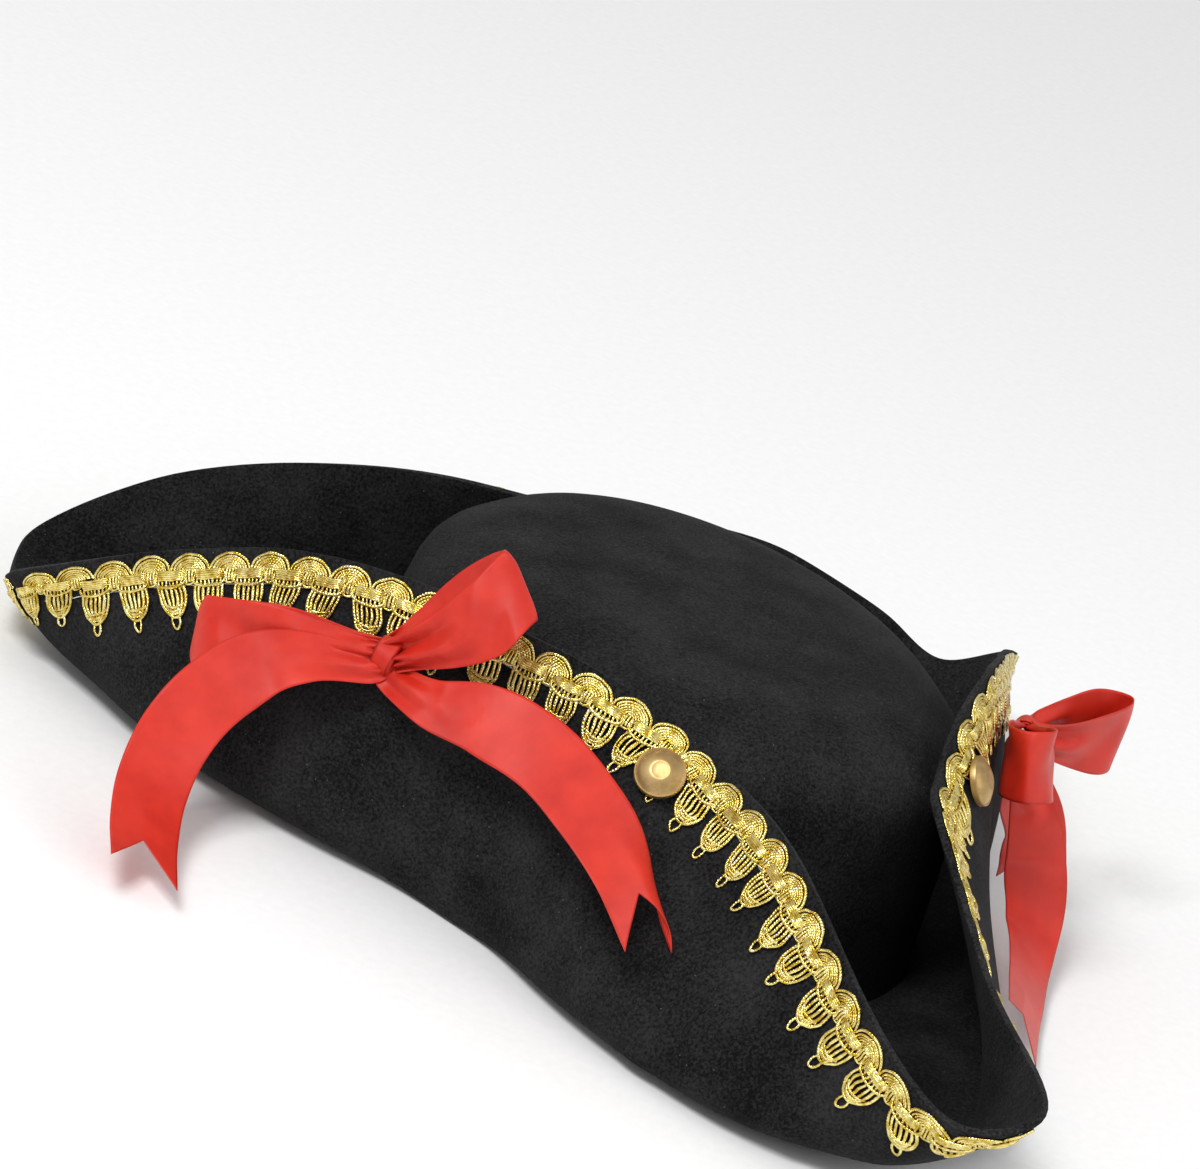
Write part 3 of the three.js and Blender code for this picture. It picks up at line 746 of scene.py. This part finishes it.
def buildStud(name, node):
    low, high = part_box(node)
    middle = (low + high) / 2
    _, normal, _, _ = feltTree.find_nearest(middle)
    least = min(vertex.co.dot(normal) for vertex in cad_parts[node].data.vertices)
    base = middle + normal * (least - middle.dot(normal))
    bpy.ops.object.select_all(action="DESELECT")
    radius, height = stud["profile"][0]
    bpy.ops.mesh.primitive_circle_add(vertices=stud["sides"], radius=radius * mm, fill_type="NOTHING",
                                      location=(0, 0, height * mm))
    piece = bpy.context.object
    piece.name = name
    bpy.ops.object.transform_apply(location=True, rotation=True, scale=True)
    bpy.ops.object.mode_set(mode="EDIT")
    bpy.ops.mesh.select_all(action="SELECT")
    for (before, lower), (after, upper) in zip(stud["profile"], stud["profile"][1:]):
        bpy.ops.mesh.extrude_edges_move(TRANSFORM_OT_translate={"value": (0, 0, (upper - lower) * mm)})
        bpy.ops.transform.resize(value=(after / before, after / before, 1), center_override=(0, 0, upper * mm))
    bpy.ops.mesh.edge_face_add()
    bpy.ops.mesh.select_all(action="SELECT")
    bpy.ops.mesh.normals_make_consistent(inside=False)
    bpy.ops.object.mode_set(mode="OBJECT")
    piece.data.transform(Matrix.Translation(base) @ normal.to_track_quat("Z", "Y").to_matrix().to_4x4())
    bpy.ops.object.shade_smooth_by_angle(angle=math.radians(stud["sharpAngle"]))
    piece.data.materials.append(brass)
    return finishPiece(piece, [node])


for name in ("right", "left"):
    buildStud("capStud_" + name, "stud_" + name)
print("studs made")

# Satin bows in millimetres: a band round the waist, and two loops and two tails of ribbon
ribbon = {
    "width": 22,
    "thickness": 0.24,
    "columns": 24,
    "rows": 120,
    # width at the knot as a share of the full width, and the knot's half sizes forward, out and up
    "gather": 0.47,
    "knotHalves": (4.0, 4.5, 6.5),
}
loopShape = {
    "length": 55,
    "depth": 16,
    # reach along the loop and bulge away from its middle, as shares of its length and half its depth
    "route": ((0, 0.12), (0.45, 0.8), (0.85, 0.9), (1, 0.15), (0.85, -0.5), (0.45, -0.45), (0, -0.12)),
    "root": 0.1,
    "spread": 0.7,
    # stretch of the ribbon over which the near strand turns into the far one
    "turnFrom": 0.35,
    "turnTo": 0.6,
    "pleatEnd": 0.6,
    # tight gathers inside the band
    "gathers": 4.5,
    "gatherDepth": 1.5,
    "gatherEnd": 0.17,
    "foldWidth": 0.2,
    "slack": 0.5,
    "corner": 2.4,
}
tailShape = {
    "length": 110,
    "notch": 17,
    "spread": 0.36,
    "pleats": 1.7,
    "pleatDepth": 0.8,
    "pleatEnd": 0.24,
    "cup": 0.9,
    "cupEnd": 0.5,
    # place across the ribbon where a curled prong starts to roll, and the stretch of tail that rolls
    "hinge": -0.15,
    "rollFrom": 0.62,
    "rollTo": 0.93,
}
bandShape = {
    "width": 6.6,
    "halfOut": 4.0,
    "halfUp": 5.7,
    # turns round the waist, and the height from one layer of the fold to the next
    "turns": 1.08,
    "layer": 0.34,
    "crown": 0.35,
    "sink": 0.55,
    "topShare": 0.82,
    "slant": 0.15,
    "tilt": 0.25,
    "uneven": 0.04,
    "wind": 0.5,
}
# Directions are forward to the hat's front, out from the flap and up
bows = {
    "right": {
        "side": rightSide,
        "loops": {
            "front": {"tip": (0.55, -0.1, 0.68), "across": (0.88, 0.08, -0.5), "fullness": 1, "pleats": 1.7,
                      "depth": 1.9, "sag": 6.5, "crease": (0.72, -0.24, 2.6), "phase": 1.9},
            "back": {"tip": (-1.02, 0.1, -0.32), "across": (0.2, 0.3, -0.9), "fullness": 1, "pleats": 1.6,
                     "depth": 1.8, "sag": 0.5, "crease": (0.7, -0.3, 2.6), "phase": 1.3},
        },
        "tails": {
            "front": {"root": (0.75, 0.35, -0.56), "rootFacing": (0.15, 0.95, 0.35),
                      "endFacing": (0.36, 0.5, 0.72), "curl": 115,
                      "path": ((0.17, 0.065, -0.035), (0.33, 0.06, -0.01), (0.52, 0.09, -0.015),
                               (0.7, 0.15, -0.065), (0.87, 0.22, -0.135), (1.045, 0.32, -0.235))},
            "back": {"root": (-0.5, 0.75, -0.42), "rootFacing": (0.35, 0.75, 0.55),
                     "endFacing": (0.27, -0.12, 0.96), "curl": 0,
                     "path": ((-0.16, 0.1, -0.05), (-0.27, 0.15, -0.11), (-0.345, 0.24, -0.22),
                              (-0.36, 0.35, -0.32), (-0.33, 0.47, -0.41), (-0.26, 0.61, -0.465),
                              (-0.16, 0.78, -0.485))},
        },
    },
    "left": {
        "side": leftSide,
        "loops": {
            "front": {"tip": (0.85, 0, 0.15), "across": (0.2, 0.3, -1), "fullness": 1.3, "pleats": 1.5,
                      "depth": 1.8, "sag": 1.5, "crease": (0.75, 0.25, 2.0), "phase": 0.2},
            "back": {"tip": (-0.7, 0.52, -0.03), "across": (0.1, 0, -1), "fullness": 1, "pleats": 1.6,
                     "depth": 1.7, "sag": 2.5, "crease": (0.6, -0.2, 2.2), "phase": 2.0},
        },
        "tails": {
            "front": {"root": (0.5, 0.45, -0.74), "rootFacing": (1, 0.1, 0.35), "endFacing": (0, 0.75, 0.65),
                      "curl": 0,
                      "path": ((0.12, 0.095, -0.165), (0.12, 0.15, -0.295), (0.18, 0.185, -0.385),
                               (0.29, 0.2, -0.45), (0.5, 0.215, -0.47), (0.7, 0.22, -0.465),
                               (0.9, 0.225, -0.445))},
            "back": {"root": (-0.2, 0.05, -0.97), "rootFacing": (0.3, 0.9, 0.2), "endFacing": (0.95, 0.1, 0.3),
                     "curl": 0,
                     "path": ((-0.09, 0.055, -0.188), (-0.14, 0.12, -0.29), (-0.18, 0.155, -0.4),
                              (-0.23, 0.175, -0.48))},
        },
    },
}


# Where a bow's knot is, and which ways are forward, out and up there
class KnotPlace:
    def __init__(self, side, node):
        low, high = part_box(node)
        self.center = (low + high) / 2
        _, normal, _, _ = feltTree.find_nearest(self.center)
        out = Vector((normal.x, normal.y, 0)).normalized()
        self.axes = (Vector((side * out.y, -side * out.x, 0)), out, Vector((0, 0, 1)))

    def aim(self, shares):
        return sum((axis * share for axis, share in zip(self.axes, shares)), Vector()).normalized()

    def at(self, shares, size):
        return self.center + sum((axis * share for axis, share in zip(self.axes, shares)), Vector()) * size * mm

    def reach(self, direction):
        return math.hypot(*(half * direction.dot(axis) for axis, half in zip(self.axes, ribbon["knotHalves"]))) * mm

    def root(self, shares):
        way = self.aim(shares)
        return self.center + sum((axis * way.dot(axis) * half for axis, half in zip(self.axes, ribbon["knotHalves"])),
                                 Vector()) * mm


# Smooth route through points, given back as even steps with their directions
class Route:
    def __init__(self, points, steps=400):
        points = [2 * points[0] - points[1], *points, 2 * points[-1] - points[-2]]
        fine = []
        for a, b, c, d in zip(points, points[1:], points[2:], points[3:]):
            first, second, third = (max(1e-5, (q - p).length) ** 0.5 for p, q in ((a, b), (b, c), (c, d)))
            leave = ((b - a) / first - (c - a) / (first + second) + (c - b) / second) * second
            arrive = ((c - b) / second - (d - b) / (second + third) + (d - c) / third) * second
            for step in range(steps // 8):
                t = step / (steps // 8)
                fine.append(b + leave * t + (3 * (c - b) - 2 * leave - arrive) * t * t
                            + (2 * (b - c) + leave + arrive) * t * t * t)
        fine.append(points[-2])
        lengths = [0]
        for a, b in zip(fine, fine[1:]):
            lengths.append(lengths[-1] + (b - a).length)
        self.length = lengths[-1]
        self.spots = []
        j = 0
        for step in range(steps + 1):
            want = self.length * step / steps
            while j < len(lengths) - 2 and lengths[j + 1] < want:
                j += 1
            share = (want - lengths[j]) / max(1e-9, lengths[j + 1] - lengths[j])
            self.spots.append(fine[j].lerp(fine[j + 1], min(1, max(0, share))))
        self.steps = steps

    def point(self, share):
        place = min(self.steps - 1e-6, max(0, share * self.steps))
        i = int(place)
        return self.spots[i].lerp(self.spots[i + 1], place - i)

    def along(self, share):
        return (self.point(min(1, share + 0.012)) - self.point(max(0, share - 0.012))).normalized()


# Width of a ribbon that spreads from its gathers
def ribbonWidth(spread):
    return ribbon["width"] * mm * (ribbon["gather"] + (1 - ribbon["gather"]) * spread)


# Ribbon made from a flat grid, each point set by its share along and across
def layRibbon(name, spot, length):
    bpy.ops.object.select_all(action="DESELECT")
    bpy.ops.mesh.primitive_grid_add(x_subdivisions=ribbon["columns"], y_subdivisions=ribbon["rows"], size=1)
    piece = bpy.context.object
    piece.name = name
    for vertex in piece.data.vertices:
        vertex.co = spot(vertex.co.y + 0.5, vertex.co.x * 2)
    for corner in piece.data.uv_layers[0].data:
        corner.uv = (corner.uv.x, corner.uv.y * length / (ribbon["width"] * mm))
    applyModifier(piece, "SOLIDIFY", thickness=ribbon["thickness"] * mm, offset=0)
    bpy.ops.object.shade_smooth()
    piece.data.materials.append(satin)
    return piece


# One loop, whose near strand sags away from the far one so that it opens, with a broad soft fold
def buildLoop(name, knot, loop, node):
    tip = knot.at(loop["tip"], loopShape["length"])
    axis = (tip - knot.center).normalized()
    across = knot.aim(loop["across"])
    down = (across - axis * across.dot(axis)).normalized()
    bulge = down.cross(axis).normalized()
    if bulge.dot(knot.axes[1]) < 0:
        bulge = -bulge
    start = knot.reach(axis) * loopShape["root"]
    length = (tip - knot.center).length - start
    half = loopShape["depth"] * loop["fullness"] * mm / 2
    route = Route([knot.center + axis * (start + reach * length) + bulge * (swell * half)
                   for reach, swell in loopShape["route"]])
    foldAt, foldLean, foldDepth = loop["crease"]

    def spot(u, v):
        middle = route.point(u)
        facing = route.along(u).cross(down).normalized()
        reach = (middle - knot.center).dot(axis) / (loopShape["length"] * mm)
        spread = smoothStep(reach, 0, loopShape["spread"])
        width = ribbonWidth(spread)
        near = 1 - smoothStep(u, loopShape["turnFrom"], loopShape["turnTo"])
        pleat = math.cos(math.pi * loop["pleats"] * v + loop["phase"]) * loop["depth"]
        pleat *= smoothStep(reach, -0.05, 0.12) * (1 - smoothStep(reach, 0.12, loopShape["pleatEnd"]))
        # Tight gathers fill the band that holds them
        neck = loopShape["gatherDepth"] * (1 - 0.3 * v * v) * (1 - smoothStep(reach, 0.04, loopShape["gatherEnd"]))
        pleat += neck * math.cos(loopShape["gathers"] * math.pi * v + loop["phase"])
        bend = (reach - foldAt - foldLean * v) / loopShape["foldWidth"]
        fold = foldDepth * math.exp(-bend * bend) * smoothStep(reach, 0.15, 0.5) * (1.6 * near - 0.6)
        slack = loopShape["slack"] * math.sin(2.2 * v + 9 * u + loop["phase"]) * spread
        sag = loop["sag"] * math.sin(math.pi * min(1, max(0, reach))) * (near - 0.25)
        corner = loopShape["corner"] * v ** 4 * smoothStep(reach, 0.72, 1)
        return (middle + down * (v * width / 2 + sag * mm) + facing * (pleat + slack) * mm
                - bulge * fold * mm - axis * corner * mm)

    piece = layRibbon(name, spot, route.length)
    return finishPiece(piece, [node])


# One tail, gathered at the knot and notched at its end, of which one prong may curl under
def buildTail(name, knot, tail, node):
    root = knot.root(tail["root"])
    route = Route([knot.center.lerp(root, 0.5), root,
                   *(knot.at(place, tailShape["length"]) for place in tail["path"])])
    rootFacing, endFacing = knot.aim(tail["rootFacing"]), knot.aim(tail["endFacing"])
    notchShare = tailShape["notch"] * mm / route.length
    hinge = tailShape["hinge"]

    def spot(u, v):
        cut = notchShare * (1 - abs(v)) * smoothStep(u, 1 - 2.6 * notchShare, 1)
        share = u - cut
        along = route.along(share)
        facing = rootFacing.lerp(endFacing, share)
        across = along.cross(facing).normalized()
        normal = across.cross(along).normalized()
        spread = smoothStep(share, 0.02, tailShape["spread"])
        width = ribbonWidth(spread)
        pleat = math.cos(tailShape["pleats"] * math.pi * v + 0.7) * tailShape["pleatDepth"]
        pleat *= 1 - smoothStep(share, 0.04, tailShape["pleatEnd"])
        cup = tailShape["cup"] * v * v * (1 - smoothStep(share, 0.1, tailShape["cupEnd"]))
        point = route.point(share) + normal * (pleat - cup) * mm
        turn = math.radians(tail["curl"]) * smoothStep(share, tailShape["rollFrom"], tailShape["rollTo"])
        if turn < 0.01 or v > hinge:
            return point + across * (v * width / 2)
        # The prong rolls away from the eye beyond the hinge, as a curved strip of the same width
        bow = (1 + hinge) * width / 2 / turn
        angle = turn * (hinge - v) / (1 + hinge)
        return (point + across * (hinge * width / 2 - bow * math.sin(angle))
                - normal * bow * (1 - math.cos(angle)))

    piece = layRibbon(name, spot, route.length)
    return finishPiece(piece, [node])


# Band drawn tight round the waist: the ribbon folded in three across its width, its edge on a slant
def buildBand(name, knot, node):
    forward, out, up = knot.axes
    halfOut, halfUp, turns = bandShape["halfOut"], bandShape["halfUp"], bandShape["turns"]
    halfWidth = bandShape["width"] / 2
    perimeter = math.pi * (3 * (halfOut + halfUp) - math.sqrt((3 * halfOut + halfUp) * (halfOut + 3 * halfUp)))
    length = perimeter * turns * mm

    def spot(u, v):
        turn = 2 * math.pi * (u - 0.5) * turns + math.pi / 2
        layer = min(2, int((v + 1) * 1.5))
        share = (v + 1) * 1.5 - layer
        if layer == 0:
            reach = halfWidth * (2 * share - 1)
        elif layer == 1:
            reach = halfWidth * (1 - 2 * share)
        else:
            slant = bandShape["slant"] * math.cos(turn - 1.2)
            reach = 2 * halfWidth * share * (bandShape["topShare"] + slant) - halfWidth
        fold = bandShape["layer"] * (layer - 1 + smoothStep(share, 0.6, 1))
        crown = bandShape["crown"] * (1 - (reach / halfWidth) ** 2)
        swell = 1 + bandShape["uneven"] * math.sin(3 * turn + 0.8)
        lift = fold + crown - bandShape["sink"] + (u - 0.5) * bandShape["wind"]
        return (knot.center + forward * (reach + bandShape["tilt"] * math.sin(turn)) * mm
                + out * math.cos(turn) * (halfOut * swell + lift) * mm
                + up * math.sin(turn) * (halfUp * swell + lift) * mm)

    piece = layRibbon(name, spot, length)
    return finishPiece(piece, [node])


def buildBow(name, bow):
    node = "bow_" + name
    knot = KnotPlace(bow["side"], node + "_knot")
    band = buildBand("satinBand_" + name, knot, node + "_knot")
    for end in ("front", "back"):
        buildLoop("satinLoop_%s_%s" % (name, end), knot, bow["loops"][end], "%s_%s_loop" % (node, end))
        buildTail("satinTail_%s_%s" % (name, end), knot, bow["tails"][end], "%s_%s_tail" % (node, end))


for name, bow in bows.items():
    buildBow(name, bow)
print("bows made")

# Floor, backdrop and light
studio = {
    "floorSize": 6.0,
    "floorDrop": 0.4 * mm,
    "paperDark": (0.9, 0.9, 0.9),
    "paperLight": (0.93, 0.93, 0.93),
    "worldStrength": 0.62,
}
studioLights = {
    "keyLight": {"place": (-1.3, -0.6, 1.9), "size": 0.7, "power": 33},
    "fillLight": {"place": (0.9, -1.6, 1.1), "size": 1.2, "power": 8},
}


def buildStudio():
    bpy.ops.object.select_all(action="DESELECT")
    bpy.ops.mesh.primitive_plane_add(size=studio["floorSize"], location=(0, 0, -studio["floorDrop"]))
    floor = bpy.context.object
    floor.name = "paleFloor"
    material, nodes, links, shader = newMaterial("palePaper")
    place = nodes.new("ShaderNodeTexCoord").outputs["Object"]
    grain = addNoise(nodes, links, place, 300, 2, 0.5)
    colour = addRamp(nodes, links, grain, ((0.3, studio["paperDark"]), (0.7, studio["paperLight"])))
    links.new(colour, shader.inputs["Base Color"])
    shader.inputs["Roughness"].default_value = 0.9
    floor.data.materials.append(material)
    world = bpy.data.worlds.new("studioWhite")
    world.use_nodes = True
    background = world.node_tree.nodes["Background"]
    background.inputs["Color"].default_value = (1, 1, 1, 1)
    background.inputs["Strength"].default_value = studio["worldStrength"]
    bpy.context.scene.world = world
    for name, light in studioLights.items():
        bpy.ops.object.light_add(type="AREA", location=light["place"])
        lamp = bpy.context.object
        lamp.name = name
        lamp.data.size = light["size"]
        lamp.data.energy = light["power"]
        lamp.rotation_euler = (-Vector(light["place"])).to_track_quat("-Z", "Y").to_euler()


buildStudio()
bpy.context.scene.view_settings.view_transform = "Standard"
